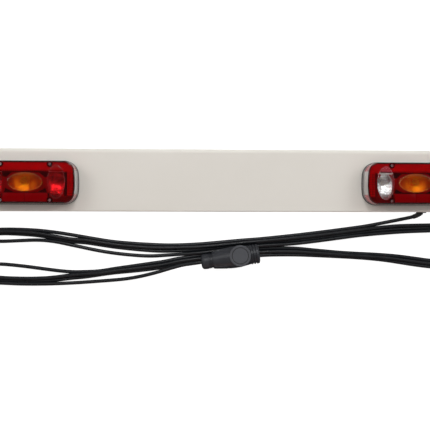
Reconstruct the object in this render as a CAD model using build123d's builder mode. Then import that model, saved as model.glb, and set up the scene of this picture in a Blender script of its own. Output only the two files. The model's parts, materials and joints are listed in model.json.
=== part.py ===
from build123d import *
import math
import os

os.makedirs("parts", exist_ok=True)

# ---------------------------------------------------------------------------
# Trailer lighting board: a folded, painted sheet channel lying on its back,
# two rear lamp clusters on its face, and a wound lead with a plug.
# Millimetres. +X along the board, +Y to its top edge, +Z out of its face.
# z = 0 is the back of the board, the surface that it lies on.
# ---------------------------------------------------------------------------

# board
BOARD_L = 1220.0        # over the end caps
BOARD_H = 140.0
BOARD_D = 28.0          # depth of the fold
SHEET = 2.0
R_TOP = 10.0            # soft bend along the top edge of the face
R_BOT = 3.0             # tight bend along the bottom edge
R_BACK = 3.0
LIP = 14.0              # return lips along the back
CAP_T = 3.0             # end cap plate
CAP_IN = 12.0           # end cap skirt inside the channel
FIX_X, FIX_Y, FIX_R = 585.0, 40.0, 4.5      # holes that fasten the board to a trailer

# lamps: u runs to the middle of the board, v up the board, w out of its face
LAMP_X = 428.0
LAMP_Y = -6.8
END_SAG = 5.0                               # bulge of the lamp's ends
BASE_L, BASE_H, BASE_R, BASE_RIM = 112.0, 48.2, 31.0, 9.5
BASE_FLOOR = 3.0
GASKET_T = 1.2
LENS_W0 = BASE_RIM + GASKET_T
LENS_W1 = 44.0
LENS_WALL = 2.6
LENS_FOOT = (110.6, 46.9, 30.0)             # half length, half height, corner
LENS_FACE = (107.0, 45.2, 21.0)
EDGE_R = 2.4
SCREW_U, SCREW_V = 52.7, 39.1
COLUMN_R = 5.9
HEAD_W = 34.5                               # seat of the lens screws' heads, deep in their columns
OVAL_W = (38.0, 20.8)                       # indicator window, half sizes
OVAL_H = (19.2, 37.4)                       # upright windows, half sizes
OVAL_U, OVAL_V = 67.4, 0.6
RETRO = (95.4, 19.2)
RETRO_V = -32.8
PLATE_U, PLATE_V = 84.0, 60.0               # clear pane, all round the inner end wall
PLATE_W0, PLATE_W1 = 13.0, 40.6
BULBS = [(-4.0, 3.0), (OVAL_U, 3.0), (-OVAL_U, 3.0)]
BOLT_U, BOLT_V = 28.0, -35.0
ENTRY_V = 33.0
LINK_U, MAIN_U = -14.0, -34.0

# leads
LEAD_R = 4.1
LINK_R = 3.0
LINK_Z = 13.0                               # height of the link lead behind the face
EXIT = (457.5, -70.0, 14.0)                 # where the lead crosses the lower flange
HANK_H = 12.4

# plug: its axis lies level on the wound lead, turned a little from +X
PLUG_O = (-45.1, -182.8, 32.5)
PLUG_DEG = 8.58
PLUG_LEN = 130.0
PLUG_ROLL = 6.0


def save(piece, name):
    piece.part.label = name
    export_step(piece.part, f"parts/{name}.step")


# ---------------------------------------------------------------------------
# Board: one folded sheet, a channel with return lips
# ---------------------------------------------------------------------------
CHANNEL_L = BOARD_L - 2 * CAP_T


def board_outline(sk, inset):
    with Locations((0, BOARD_D / 2)):
        Rectangle(BOARD_H - 2 * inset, BOARD_D - 2 * inset)
    front = sk.vertices().group_by(Axis.Y)[-1]
    fillet(front.sort_by(Axis.X)[-1], max(R_TOP - inset, 0.6))
    front = sk.vertices().group_by(Axis.Y)[-1]
    fillet(front.sort_by(Axis.X)[0], max(R_BOT - inset, 0.6))
    fillet(sk.vertices().group_by(Axis.Y)[0], max(R_BACK - inset, 0.6))


with BuildPart() as board_panel:
    with BuildSketch(Plane.YZ) as section:
        board_outline(section, 0.0)
    extrude(amount=CHANNEL_L / 2, both=True)
    with BuildSketch(Plane.YZ) as inside:
        board_outline(inside, SHEET)
    extrude(amount=CHANNEL_L / 2 + 1, both=True, mode=Mode.SUBTRACT)
    with BuildSketch(Plane.XY.offset(-1)):
        Rectangle(CHANNEL_L + 2, BOARD_H - 2 * LIP)
    extrude(amount=SHEET + 2, mode=Mode.SUBTRACT)
    # holes through the face: trailer fixings, lamp bolts, lead entries
    with BuildSketch(Plane.XY.offset(BOARD_D + 1)):
        with GridLocations(2 * FIX_X, 2 * FIX_Y, 2, 2):
            Circle(FIX_R)
        for s in (1, -1):
            with Locations(*[(-s * LAMP_X + s * k * BOLT_U, LAMP_Y + BOLT_V) for k in (1, -1)]):
                Circle(2.75)
            with Locations((-s * LAMP_X + s * LINK_U, LAMP_Y + ENTRY_V)):
                Circle(7.5)
        with Locations((LAMP_X - MAIN_U, LAMP_Y + ENTRY_V)):
            Circle(7.5)
    extrude(amount=-(SHEET + 2), mode=Mode.SUBTRACT)
    # lead exit in the lower flange
    with BuildSketch(Plane(origin=(EXIT[0], -BOARD_H / 2 - 1, EXIT[2]), z_dir=(0, 1, 0))):
        Circle(9.2)
    extrude(amount=SHEET + 2, mode=Mode.SUBTRACT)
save(board_panel, "board_panel")


def end_cap(name, s):
    face = Plane(origin=(s * CHANNEL_L / 2, 0, 0), x_dir=(0, 1, 0), z_dir=(1, 0, 0))
    with BuildPart() as cap:
        with BuildSketch(face) as plate:
            board_outline(plate, 0.0)
        extrude(amount=s * CAP_T)
        outer = cap.faces().sort_by(Axis.X)[-1 if s > 0 else 0]
        fillet(outer.edges(), 1.2)
        with BuildSketch(face) as skirt:
            board_outline(skirt, SHEET + 0.1)
        extrude(amount=-s * CAP_IN)
        with BuildSketch(face) as hollow:
            board_outline(hollow, SHEET + 2.1)
        extrude(amount=-s * (CAP_IN + 1), mode=Mode.SUBTRACT)
    save(cap, name)


end_cap("end_cap_left", -1)
end_cap("end_cap_right", 1)


# ---------------------------------------------------------------------------
# Lamps
# ---------------------------------------------------------------------------
def lamp_outline(sk, half_l, half_h, corner):
    a = half_l - END_SAG
    with BuildLine() as edge:
        Line((-a, half_h), (a, half_h))
        ThreePointArc((a, half_h), (half_l, 0), (a, -half_h))
        Line((a, -half_h), (-a, -half_h))
        ThreePointArc((-a, -half_h), (-half_l, 0), (-a, half_h))
    make_face(edge.edges())
    fillet(sk.vertices(), corner)


def lamp(side, s, inner_name, entries):
    xc = -s * LAMP_X

    def at(w):
        return Plane(origin=(xc, LAMP_Y, BOARD_D + w), x_dir=(1, 0, 0), z_dir=(0, 0, 1))

    corners = [(i * SCREW_U, j * SCREW_V) for i in (1, -1) for j in (1, -1)]
    bolts = [(BOLT_U, BOLT_V), (-BOLT_U, BOLT_V)]
    holes = [(s * u, ENTRY_V) for u, _ in entries]

    # moulded tray that bolts to the board
    with BuildPart() as base:
        with BuildSketch(at(0)) as sk:
            lamp_outline(sk, BASE_L, BASE_H, BASE_R)
        extrude(amount=BASE_RIM)
        with BuildSketch(at(BASE_FLOOR)) as sk:
            lamp_outline(sk, BASE_L - 3, BASE_H - 3, BASE_R - 3)
        extrude(amount=BASE_RIM, mode=Mode.SUBTRACT)
        with BuildSketch(at(BASE_FLOOR - 0.5)):
            with Locations(*corners):
                Circle(COLUMN_R)
        extrude(amount=LENS_W0 - 0.2 - BASE_FLOOR + 0.5)
        with BuildSketch(at(4.0)):
            with Locations(*corners):
                Circle(2.0)
        extrude(amount=12, mode=Mode.SUBTRACT)
        with BuildSketch(at(-1)):
            with Locations(*bolts):
                Circle(2.75)
            with Locations(*holes):
                Circle(7.5)
        extrude(amount=BASE_FLOOR + 2, mode=Mode.SUBTRACT)
    save(base, f"{side}_lamp_base")

    with BuildPart() as gasket:
        with BuildSketch(at(BASE_RIM)) as sk:
            lamp_outline(sk, BASE_L - 0.8, BASE_H - 0.8, BASE_R - 0.8)
        extrude(amount=GASKET_T)
        with BuildSketch(at(BASE_RIM - 1)) as sk:
            lamp_outline(sk, BASE_L - 2.8, BASE_H - 2.8, BASE_R - 2.8)
        extrude(amount=GASKET_T + 2, mode=Mode.SUBTRACT)
    save(gasket, f"{side}_lamp_gasket")

    # outer lens: a deep shell with screw columns, window openings and a
    # seat for the retro-reflector
    with BuildPart() as shell:
        with BuildSketch(at(LENS_W0)) as sk:
            lamp_outline(sk, *LENS_FOOT)
        with BuildSketch(at(LENS_W1)) as sk:
            lamp_outline(sk, *LENS_FACE)
        loft(ruled=True)
        fillet(shell.faces().sort_by(Axis.Z)[-1].edges(), EDGE_R)
        with BuildSketch(at(LENS_W0)) as sk:
            lamp_outline(sk, *[d - LENS_WALL for d in LENS_FOOT])
        with BuildSketch(at(LENS_W1 - LENS_WALL)) as sk:
            lamp_outline(sk, *[d - LENS_WALL for d in LENS_FACE])
        loft(ruled=True, mode=Mode.SUBTRACT)
        with BuildSketch(at(LENS_W0)):
            with Locations(*corners):
                Circle(COLUMN_R)
        extrude(amount=42.4 - LENS_W0)
        with BuildSketch(at(HEAD_W)):
            with Locations(*corners):
                Circle(3.7)
        extrude(amount=12, mode=Mode.SUBTRACT)
        with BuildSketch(at(LENS_W0 - 1)):
            with Locations(*corners):
                Circle(2.2)
        extrude(amount=HEAD_W - LENS_W0 + 2, mode=Mode.SUBTRACT)
        with BuildSketch(at(LENS_W1 - LENS_WALL - 1)):
            with Locations((0, OVAL_V)):
                Ellipse(*OVAL_W)
            with Locations((OVAL_U, OVAL_V), (-OVAL_U, OVAL_V)):
                Ellipse(*OVAL_H)
        extrude(amount=LENS_WALL + 2, mode=Mode.SUBTRACT)
        with BuildSketch(at(LENS_W1 - 1.2)):
            with Locations((0, RETRO_V)):
                RectangleRounded(*RETRO, 1.0)
        extrude(amount=3, mode=Mode.SUBTRACT)

    pane_x = xc + s * (PLATE_U + 20)
    pane_z = BOARD_D + (PLATE_W0 + PLATE_W1) / 2
    with BuildPart() as lens:
        add(shell.part)
        with Locations((pane_x, LAMP_Y, pane_z)):
            Box(40, 2 * PLATE_V, PLATE_W1 - PLATE_W0, mode=Mode.SUBTRACT)
    save(lens, f"{side}_lamp_lens")

    with BuildPart() as pane:
        add(shell.part)
        with Locations((pane_x, LAMP_Y, pane_z)):
            Box(40, 2 * PLATE_V, PLATE_W1 - PLATE_W0, mode=Mode.INTERSECT)
    save(pane, f"{side}_plate_window")

    # bonded window inserts, with a flange behind the lens face
    def window(name, u, half, rise, crown):
        with BuildPart() as win:
            with BuildSketch(at(LENS_W1 - LENS_WALL)):
                with Locations((s * u, OVAL_V)):
                    Ellipse(half[0] - 0.1, half[1] - 0.1)
            extrude(amount=LENS_WALL + rise)
            fillet(win.faces().sort_by(Axis.Z)[-1].edges(), crown)
            with BuildSketch(at(LENS_W1 - LENS_WALL - 1.2)):
                with Locations((s * u, OVAL_V)):
                    Ellipse(half[0] + 1.4, half[1] + 1.4)
            extrude(amount=1.2)
            with BuildSketch(at(LENS_W1 - LENS_WALL - 2)):
                with Locations((s * u, OVAL_V)):
                    Ellipse(half[0] - 2.3, half[1] - 2.3)
            extrude(amount=LENS_WALL + rise - 0.2, mode=Mode.SUBTRACT)
        save(win, name)

    window(f"{side}_indicator_window", 0.0, OVAL_W, 3.0, 2.4)
    window(inner_name, OVAL_U, OVAL_H, 2.2, 1.8)
    window(f"{side}_stop_tail_window", -OVAL_U, OVAL_H, 2.2, 1.8)

    with BuildPart() as retro:
        with BuildSketch(at(LENS_W1 - 1.2)):
            with Locations((0, RETRO_V)):
                RectangleRounded(RETRO[0] - 0.2, RETRO[1] - 0.2, 1.0)
        extrude(amount=2.0)
        fillet(retro.faces().sort_by(Axis.Z)[-1].edges(), 0.5)
    save(retro, f"{side}_retro_reflector")

    # reflector: a plate with three tapering wells and a slot for the plate bulb
    wells = [
        ((0.0, 1.5, 88.0, 44.0, 6.0), (0.0, -2.0, 56.0, 32.0, 5.0)),
        ((s * 68.5, -3.5, 36.0, 54.0, 6.0), (s * OVAL_U, -4.0, 24.0, 40.0, 5.0)),
        ((-s * 68.5, -3.5, 36.0, 54.0, 6.0), (-s * OVAL_U, -4.0, 24.0, 40.0, 5.0)),
    ]
    with BuildPart() as reflector:
        with BuildSketch(at(31)) as sk:
            lamp_outline(sk, 104.6, 42.2, 20.0)
        extrude(amount=2)
        for top, bottom in wells:
            with BuildSketch(at(11.2)):
                with Locations((bottom[0], bottom[1])):
                    RectangleRounded(bottom[2] + 3.6, bottom[3] + 3.6, bottom[4] + 1.8)
            with BuildSketch(at(33)):
                with Locations((top[0], top[1])):
                    RectangleRounded(top[2] + 3.6, top[3] + 3.6, top[4] + 1.8)
            loft(ruled=True)
        for top, bottom in wells:
            with BuildSketch(at(13)):
                with Locations((bottom[0], bottom[1])):
                    RectangleRounded(bottom[2], bottom[3], bottom[4])
            with BuildSketch(at(33)):
                with Locations((top[0], top[1])):
                    RectangleRounded(top[2], top[3], top[4])
            loft(ruled=True, mode=Mode.SUBTRACT)
        with BuildSketch(at(10)):
            with Locations(*[(s * u, v) for u, v in BULBS]):
                Circle(9.4)
        extrude(amount=5, mode=Mode.SUBTRACT)
        with BuildSketch(at(30)):
            with Locations(*corners):
                Circle(COLUMN_R + 0.6)
            with Locations((s * 97, 0)):
                RectangleRounded(12, 42, 2)
        extrude(amount=4, mode=Mode.SUBTRACT)
    save(reflector, f"{side}_lamp_reflector")

    # bulbs and their holders
    with BuildPart() as holders:
        with BuildSketch(at(BASE_FLOOR)):
            with Locations(*[(s * u, v) for u, v in BULBS]):
                Circle(12.0)
        extrude(amount=11.2 - BASE_FLOOR)
        with BuildSketch(at(BASE_FLOOR)):
            with Locations(*[(s * u, v) for u, v in BULBS]):
                Circle(9.0)
        extrude(amount=15.0 - BASE_FLOOR)
        with BuildSketch(at(5.0)):
            with Locations(*[(s * u, v) for u, v in BULBS]):
                Circle(7.6)
        extrude(amount=12, mode=Mode.SUBTRACT)
    save(holders, f"{side}_bulb_holders")

    with BuildPart() as caps:
        with BuildSketch(at(5.0)):
            with Locations(*[(s * u, v) for u, v in BULBS]):
                Circle(7.5)
        extrude(amount=10.5)
    save(caps, f"{side}_bulb_caps")

    with BuildPart() as glass:
        with Locations(*[(xc + s * u, LAMP_Y + v, BOARD_D + 15.5) for u, v in BULBS]):
            Cylinder(6.4, 8.0, align=(Align.CENTER, Align.CENTER, Align.MIN))
        with Locations(*[(xc + s * u, LAMP_Y + v, BOARD_D + 26.0) for u, v in BULBS]):
            Sphere(9.0)
    save(glass, f"{side}_bulb_glass")

    with BuildPart() as clips:
        with BuildSketch(at(BASE_FLOOR)):
            with Locations((s * 97, 17.6), (s * 97, -17.6)):
                Rectangle(8, 1.0)
        extrude(amount=26.0 - BASE_FLOOR)
    save(clips, f"{side}_plate_bulb_clips")

    with BuildPart() as festoon:
        axis_o = (xc + s * 97, LAMP_Y, BOARD_D + 22)
        with BuildSketch(Plane(origin=axis_o, x_dir=(0, 1, 0), z_dir=(1, 0, 0))):
            with BuildLine():
                Polyline((-17.0, 0), (-15.5, 2.6), (-11.0, 3.2), (-9.0, 5.0), (9.0, 5.0),
                         (11.0, 3.2), (15.5, 2.6), (17.0, 0), close=True)
            make_face()
        revolve(axis=Axis(axis_o, (0, 1, 0)))
    save(festoon, f"{side}_plate_bulb")

    # wiring inside the tray
    with BuildPart() as block:
        with BuildSketch(at(BASE_FLOOR)):
            with Locations((s * 25, ENTRY_V)):
                RectangleRounded(34, 12, 1.5)
        extrude(amount=9)
        with BuildSketch(at(BASE_FLOOR + 5)):
            with Locations(*[(s * (25 + k), ENTRY_V) for k in (-12, -4, 4, 12)]):
                Circle(2.4)
        extrude(amount=6, mode=Mode.SUBTRACT)
    save(block, f"{side}_terminal_block")

    with BuildPart() as strip:
        with BuildSketch(at(BASE_FLOOR)):
            with Locations((0, 18.9)):
                Rectangle(2 * OVAL_U + 5, 5)
            with Locations((-4.0 * s, 16.0), (OVAL_U, 16.0), (-OVAL_U, 16.0)):
                Rectangle(5, 1.9)
            with Locations((s * 25, 24.1)):
                Rectangle(5, 5.7)
        extrude(amount=0.8)
    save(strip, f"{side}_contact_strip")

    # fasteners
    with BuildPart() as screws:
        with BuildSketch(at(HEAD_W)):
            with Locations(*corners):
                Circle(3.3)
        extrude(amount=2.4)
        fillet(screws.faces().group_by(Axis.Z)[-1].edges(), 1.0)
        with BuildSketch(at(HEAD_W + 1.0)):
            with Locations(*corners):
                Rectangle(3.6, 0.8)
            with Locations(*corners):
                Rectangle(0.8, 3.6)
        extrude(amount=3, mode=Mode.SUBTRACT)
        with BuildSketch(at(5.0)):
            with Locations(*corners):
                Circle(1.97)
        extrude(amount=HEAD_W - 5.0)
    save(screws, f"{side}_lens_screws")

    with BuildPart() as bolt_set:
        with BuildSketch(at(BASE_FLOOR)):
            with Locations(*bolts):
                RegularPolygon(4.6, 6)
        extrude(amount=3.5)
        with BuildSketch(at(-9.0)):
            with Locations(*bolts):
                Circle(2.5)
        extrude(amount=9.0 + BASE_FLOOR)
    save(bolt_set, f"{side}_lamp_bolts")

    with BuildPart() as nut_set:
        with BuildSketch(at(-SHEET - 4.0)):
            with Locations(*bolts):
                RegularPolygon(4.6, 6)
        extrude(amount=4.0)
        with BuildSketch(at(-SHEET - 5.0)):
            with Locations(*bolts):
                Circle(2.53)
        extrude(amount=6.0, mode=Mode.SUBTRACT)
    save(nut_set, f"{side}_lamp_nuts")

    with BuildPart() as grommet:
        for u, r in entries:
            with BuildSketch(at(-SHEET - 2.0)):
                with Locations((s * u, ENTRY_V)):
                    Circle(9.5)
            extrude(amount=2.0)
            with BuildSketch(at(-SHEET)):
                with Locations((s * u, ENTRY_V)):
                    Circle(7.45)
            extrude(amount=SHEET + BASE_FLOOR)
            with BuildSketch(at(BASE_FLOOR)):
                with Locations((s * u, ENTRY_V)):
                    Circle(9.5)
            extrude(amount=1.5)
            with BuildSketch(at(-SHEET - 3.0)):
                with Locations((s * u, ENTRY_V)):
                    Circle(r + 0.05)
            extrude(amount=SHEET + BASE_FLOOR + 6, mode=Mode.SUBTRACT)
    save(grommet, f"{side}_lamp_grommets")


lamp("left", 1, "left_fog_window", [(LINK_U, LINK_R)])
lamp("right", -1, "right_reversing_window", [(LINK_U, LINK_R), (MAIN_U, LEAD_R)])


# ---------------------------------------------------------------------------
# Leads held by the board
# ---------------------------------------------------------------------------
ENTRY_Y = LAMP_Y + ENTRY_V
link_x = LAMP_X - LINK_U
with BuildPart() as cable_link:
    with BuildLine() as path:
        FilletPolyline((-link_x, ENTRY_Y, 35), (-link_x, ENTRY_Y, LINK_Z),
                       (link_x, ENTRY_Y, LINK_Z), (link_x, ENTRY_Y, 35), radius=10)
    with BuildSketch(Plane(origin=path.line @ 0, z_dir=path.line % 0)):
        Circle(LINK_R)
    sweep()
save(cable_link, "cable_link")

with BuildPart() as cable_clips:
    for x in (-300, -100, 100, 300):
        with BuildSketch(Plane(origin=(x - 7, ENTRY_Y, 0), x_dir=(0, 1, 0), z_dir=(1, 0, 0))):
            with Locations((0, (BOARD_D - SHEET + LINK_Z - 4.5) / 2)):
                Rectangle(14, BOARD_D - SHEET - LINK_Z + 4.5)
            with Locations((0, LINK_Z)):
                Circle(LINK_R + 0.05, mode=Mode.SUBTRACT)
        extrude(amount=14)
save(cable_clips, "cable_clips")

# the lead crosses the flange at 45 degrees and turns along the board in its boot
D0 = (-math.sqrt(0.5), -math.sqrt(0.5))
D1 = (math.cos(math.radians(195)), math.sin(math.radians(195)))
TAN = 40.0 * math.tan(math.radians(15))
K = (EXIT[0] + TAN * D0[0], EXIT[1] + TAN * D0[1], EXIT[2])
N = (K[0] + (TAN + 2) * D1[0], K[1] + (TAN + 2) * D1[1], EXIT[2])
S0 = (EXIT[0] - 2 * D0[0], EXIT[1] - 2 * D0[1], EXIT[2])
IN = (EXIT[0] - 14 * D0[0], EXIT[1] - 14 * D0[1], EXIT[2])
main_x = LAMP_X - MAIN_U

with BuildPart() as cable_inner_run:
    with BuildLine() as path:
        FilletPolyline((main_x, ENTRY_Y, 35), (main_x, ENTRY_Y, 14),
                       (484.0, EXIT[1] + 26.5, 14), S0, radius=[10.0, 38.0])
    with BuildSketch(Plane(origin=path.line @ 0, z_dir=path.line % 0)):
        Circle(LEAD_R)
    sweep()
save(cable_inner_run, "cable_inner_run")

with BuildPart() as cable_boot:
    with BuildSketch(Plane(origin=(EXIT[0], EXIT[1] + SHEET, EXIT[2]), z_dir=(0, 1, 0))):
        Circle(11.2)
    extrude(amount=1.5)
    with BuildSketch(Plane(origin=(EXIT[0], EXIT[1], EXIT[2]), z_dir=(0, 1, 0))):
        Circle(9.15)
    extrude(amount=SHEET)
    with BuildSketch(Plane(origin=(EXIT[0], EXIT[1], EXIT[2]), z_dir=(0, -1, 0))):
        Circle(11.2)
    extrude(amount=2.0)
    with BuildLine() as nose:
        FilletPolyline(EXIT, K, (N[0] - D1[0] * 0.8, N[1] - D1[1] * 0.8, N[2]), radius=39.9)
    with BuildSketch(Plane(origin=nose.line @ 0, z_dir=nose.line % 0)):
        Circle(6.2)
    with BuildSketch(Plane(origin=nose.line @ 1, z_dir=nose.line % 1)):
        Circle(4.9)
    sweep(multisection=True)
    with BuildLine() as bore:
        FilletPolyline(IN, K, (N[0] + D1[0] * 2, N[1] + D1[1] * 2, N[2]), radius=40.0)
    with BuildSketch(Plane(origin=bore.line @ 0, z_dir=bore.line % 0)):
        Circle(LEAD_R + 0.05)
    sweep(mode=Mode.SUBTRACT)
save(cable_boot, "cable_boot")


# ---------------------------------------------------------------------------
# Free lead: boot to hank, the hank, hank to plug
# ---------------------------------------------------------------------------
def cord_radii(points, fixed=None):
    vs = [Vector(*p) for p in points]
    radii = []
    for a, b, c in zip(vs, vs[1:], vs[2:]):
        turn = math.radians((b - a).get_angle(c - b))
        run = min((b - a).length, (c - b).length)
        radii.append(min(0.45 * run / math.tan(turn / 2), 4000.0))
    for i, r in (fixed or {}).items():
        radii[i] = r
    return radii


def check_tube(name, piece, path_length):
    expect = math.pi * LEAD_R ** 2 * path_length
    print(f"{name}: length {path_length:.1f} mm, volume {piece.part.volume / expect:.4f} of section x length")


lead_pts = [S0, K, N, (414.0, -86.3, 12.4), (388.0, -91.6, 9.0), (362.0, -97.3, 5.9),
            (335.0, -101.8, 4.4), (305.5, -106.2, 4.15)]
lead_r = cord_radii(lead_pts, {0: 40.0})
lead_r[1] = min(lead_r[1], 35.0)
print("lead radii", [round(r) for r in lead_r])
with BuildPart() as cable_lead:
    with BuildLine() as path:
        FilletPolyline(*lead_pts, radius=lead_r)
    with BuildSketch(Plane(origin=path.line @ 0, z_dir=path.line % 0)):
        Circle(LEAD_R)
    sweep()
check_tube("cable_lead", cable_lead, path.wires()[0].length)
save(cable_lead, "cable_lead")

a = math.radians(PLUG_DEG)
PA = (math.cos(a), math.sin(a), 0.0)
tail_pts = [(-261.6, -225.4, 4.15), (-236.0, -223.6, 4.3), (-206.0, -219.9, 4.9), (-175.0, -214.2, 6.9),
            (-145.0, -206.6, 11.2), (-116.0, -198.4, 18.2), (-89.0, -190.8, 26.4),
            (PLUG_O[0] - 18 * PA[0], PLUG_O[1] - 18 * PA[1], PLUG_O[2] - 0.2),
            (PLUG_O[0] + 8 * PA[0], PLUG_O[1] + 8 * PA[1], PLUG_O[2]),
            (PLUG_O[0] + 34 * PA[0], PLUG_O[1] + 34 * PA[1], PLUG_O[2] - 0.01)]
tail_r = cord_radii(tail_pts)
print("tail radii", [round(r) for r in tail_r])
with BuildPart() as cable_plug_tail:
    with BuildLine() as path:
        FilletPolyline(*tail_pts, radius=tail_r)
    with BuildSketch(Plane(origin=path.line @ 0, z_dir=path.line % 0)):
        Circle(LEAD_R)
    sweep()
check_tube("cable_plug_tail", cable_plug_tail, path.wires()[0].length)
save(cable_plug_tail, "cable_plug_tail")

# the wound lead lies flat: long folds that pinch together under the plug and
# open into a lobe on each side
hank_outer = [
    (304.9, -102.4), (265.5, -108.4), (208.1, -115.4), (157.6, -122.0), (89.1, -127.4), (9.5, -134.2),
    (-47.2, -138.5), (-96.9, -140.3), (-160.0, -140.1), (-204.9, -136.1), (-256.4, -131.6), (-305.6, -123.3),
    (-336.8, -116.6), (-383.5, -111.2), (-414.5, -108.8), (-450.0, -107.7), (-494.1, -109.1),
    (-530.0, -114.0), (-563.0, -126.5), (-586.0, -147.0), (-595.0, -172.0), (-588.0, -198.0),
    (-567.0, -219.0), (-535.0, -231.5), (-494.0, -234.8), (-449.7, -236.0), (-367.7, -235.2),
    (-321.0, -233.7), (-287.5, -231.0), (-262.0, -229.6), (-262.0, -221.2), (-250.0, -214.6),
    (-240.6, -212.8), (-193.6, -206.1), (-144.1, -198.7), (-96.8, -189.3), (-47.1, -184.4), (9.5, -178.8),
    (89.2, -170.0), (157.7, -169.6), (208.1, -171.2), (265.6, -174.2), (304.8, -177.0), (346.5, -180.0),
    (376.6, -183.2), (404.4, -186.7), (441.6, -192.5), (481.2, -197.6),
    (520.0, -199.0), (556.0, -190.0), (580.0, -171.5), (588.0, -147.0), (580.0, -123.0), (558.0, -105.0),
    (525.0, -97.6), (481.0, -96.5), (441.4, -97.0), (404.2, -98.0), (376.4, -101.8), (346.3, -105.6),
    (320.0, -109.6), (304.9, -111.0),
]
hank_left = [
    (-100.0, -171.1), (-159.9, -174.6), (-204.9, -172.1), (-256.4, -165.7), (-305.5, -154.7), (-336.7, -146.8),
    (-361.2, -140.1), (-394.5, -136.1), (-449.9, -139.9), (-494.1, -141.5), (-520.0, -147.0), (-533.0, -162.6),
    (-520.0, -177.5), (-494.0, -183.7), (-449.8, -187.3), (-405.5, -193.2), (-367.8, -199.1), (-336.6, -202.3),
    (-305.4, -202.3), (-272.0, -200.1), (-240.7, -194.8), (-193.6, -187.9), (-144.2, -180.7),
]
hank_crescent = [
    (-418.0, -128.6), (-450.0, -125.0), (-494.0, -124.5), (-530.0, -129.8), (-556.0, -146.0), (-564.0, -171.0),
    (-555.0, -196.0), (-532.0, -210.5), (-494.0, -214.9), (-450.0, -215.8), (-392.0, -212.8), (-352.0, -208.4),
    (-367.8, -206.5), (-405.5, -200.6), (-449.8, -194.7), (-494.0, -191.1), (-524.0, -184.5), (-541.5, -163.0),
    (-526.0, -141.0), (-494.0, -134.1), (-450.0, -132.5),
]
hank_right = [
    (128.0, -148.4), (157.7, -145.7), (208.1, -141.0), (265.6, -134.1), (304.8, -128.8), (346.3, -122.4),
    (376.4, -119.6), (404.3, -117.3), (441.4, -116.1), (481.0, -115.2), (512.0, -119.0), (535.0, -130.0),
    (544.0, -147.0), (537.0, -164.0), (515.0, -174.5), (481.2, -177.7), (441.6, -172.8), (404.4, -167.8),
    (376.5, -166.1), (346.4, -163.6), (304.8, -162.2), (265.6, -157.2), (208.1, -150.8), (157.7, -148.9),
]
with BuildPart() as cable_hank:
    with BuildSketch(Plane.XY):
        with BuildLine():
            Polyline(*hank_outer, close=True)
        make_face()
        for hole in (hank_left, hank_crescent, hank_right):
            with BuildLine():
                Polyline(*hole, close=True)
            make_face(mode=Mode.SUBTRACT)
    extrude(amount=HANK_H)
    # hollow where the plug lies on it
    with BuildSketch(Plane(origin=(PLUG_O[0] + 20 * PA[0], PLUG_O[1] + 20 * PA[1], PLUG_O[2]), z_dir=PA)):
        Circle(24.4)
    extrude(amount=114, mode=Mode.SUBTRACT)
save(cable_hank, "cable_hank")


# ---------------------------------------------------------------------------
# Plug
# ---------------------------------------------------------------------------
PLUG = Plane(origin=PLUG_O, x_dir=PA, z_dir=(math.sin(a), -math.cos(a), 0))
PLUG_AXIS = Axis(PLUG_O, PA)


def along(p):
    return (PLUG_O[0] + p * PA[0], PLUG_O[1] + p * PA[1], PLUG_O[2])


with BuildPart() as plug_gland_nut:
    with BuildSketch(PLUG):
        with BuildLine():
            Polyline((0, LEAD_R + 0.25), (0, 9.5), (0.7, 12.4), (2.2, 14.8), (4.4, 16.2), (7.5, 16.8), (15.8, 17.0),
                     (16.4, 16.1), (17.7, 16.1), (18.3, 17.1), (19.1, 17.1), (19.7, 16.2), (20.8, 16.2), (21.4, 17.2), (22.3, 17.2),
                     (22.3, 9.3), (10.0, 9.3), (10.0, LEAD_R + 0.25), close=True)
        make_face()
    revolve(axis=PLUG_AXIS)
save(plug_gland_nut, "plug_gland_nut")

with BuildPart() as plug_cable_seal:
    with BuildSketch(Plane(origin=along(10.1), z_dir=PA)):
        Circle(9.2)
        Circle(LEAD_R + 0.05, mode=Mode.SUBTRACT)
    extrude(amount=3.9)
save(plug_cable_seal, "plug_cable_seal")

with BuildPart() as plug_body:
    with BuildSketch(PLUG):
        with BuildLine():
            Polyline((14.2, 0), (14.2, 9.2), (22.5, 9.2), (22.5, 15.6), (25.4, 15.6), (25.4, 17.4), (26.2, 18.2),
                     (44.0, 20.8), (62.0, 23.4), (70.0, 24.0), (86.0, 24.0), (98.0, 22.4), (110.5, 20.8),
                     (110.5, 0), close=True)
        make_face()
    revolve(axis=PLUG_AXIS)
    roll = math.radians(PLUG_ROLL)
    up = (-math.sin(a) * math.sin(roll), math.cos(a) * math.sin(roll), math.cos(roll))
    boss = Plane(origin=along(86.5), x_dir=PA, z_dir=up)
    with BuildSketch(boss):
        Circle(23.4)
    extrude(amount=24.3)
    # hollow inside: cable bore, wiring space, seat of the contact insert
    with BuildSketch(PLUG):
        with BuildLine():
            Polyline((13.0, 0), (13.0, 4.8), (32.0, 4.8), (36.0, 15.6), (62.0, 20.4), (94.5, 20.4), (94.5, 17.6),
                     (112.0, 17.6), (112.0, 0), close=True)
        make_face()
    revolve(axis=PLUG_AXIS, mode=Mode.SUBTRACT)
    with BuildSketch(boss.offset(2)):
        with Locations((-6.0, 0)):
            Circle(13.0)
    extrude(amount=30, mode=Mode.SUBTRACT)
save(plug_body, "plug_body")

with BuildPart() as plug_side_cap:
    with BuildSketch(boss.offset(24.35)):
        Circle(23.4)
    extrude(amount=1.9)
    fillet(plug_side_cap.faces().sort_by(Axis.Z)[-1].edges(), 0.9)
    with BuildSketch(boss.offset(24.9)):
        Circle(18.7)
        Circle(17.1, mode=Mode.SUBTRACT)
    extrude(amount=3, mode=Mode.SUBTRACT)
save(plug_side_cap, "plug_side_cap")

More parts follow.
